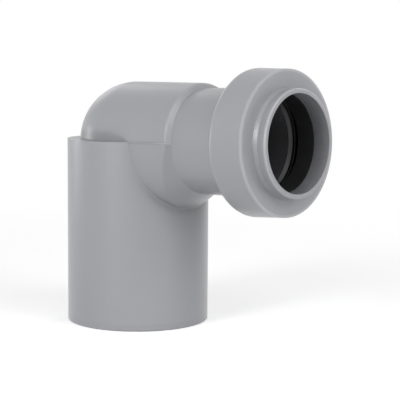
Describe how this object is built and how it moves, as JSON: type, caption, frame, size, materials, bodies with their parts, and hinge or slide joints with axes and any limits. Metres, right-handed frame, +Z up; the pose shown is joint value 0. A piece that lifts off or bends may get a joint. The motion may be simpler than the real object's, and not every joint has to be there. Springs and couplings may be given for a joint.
{
  "type": "reducing drain elbow",
  "caption": "Near right-angle push-fit drain elbow with a wide plain spigot leg and a narrower ring-seal socket",
  "frame": {"origin": "centre of the leg's open end, on the leg's axis and in the plane the leg stands on", "axes": "+Z up along the leg's axis, +X the way the socket leaves (it rises 1.5 degrees from level), +Y across"},
  "size_m": [0.0974, 0.0502, 0.0902],
  "materials": {
    "body": "satin moulded polypropylene, light grey",
    "seal": "matt black rubber"
  },
  "bodies": {
    "root": {"elbow_body": "body", "lip_seal": "seal"}
  },
  "joints": []
}
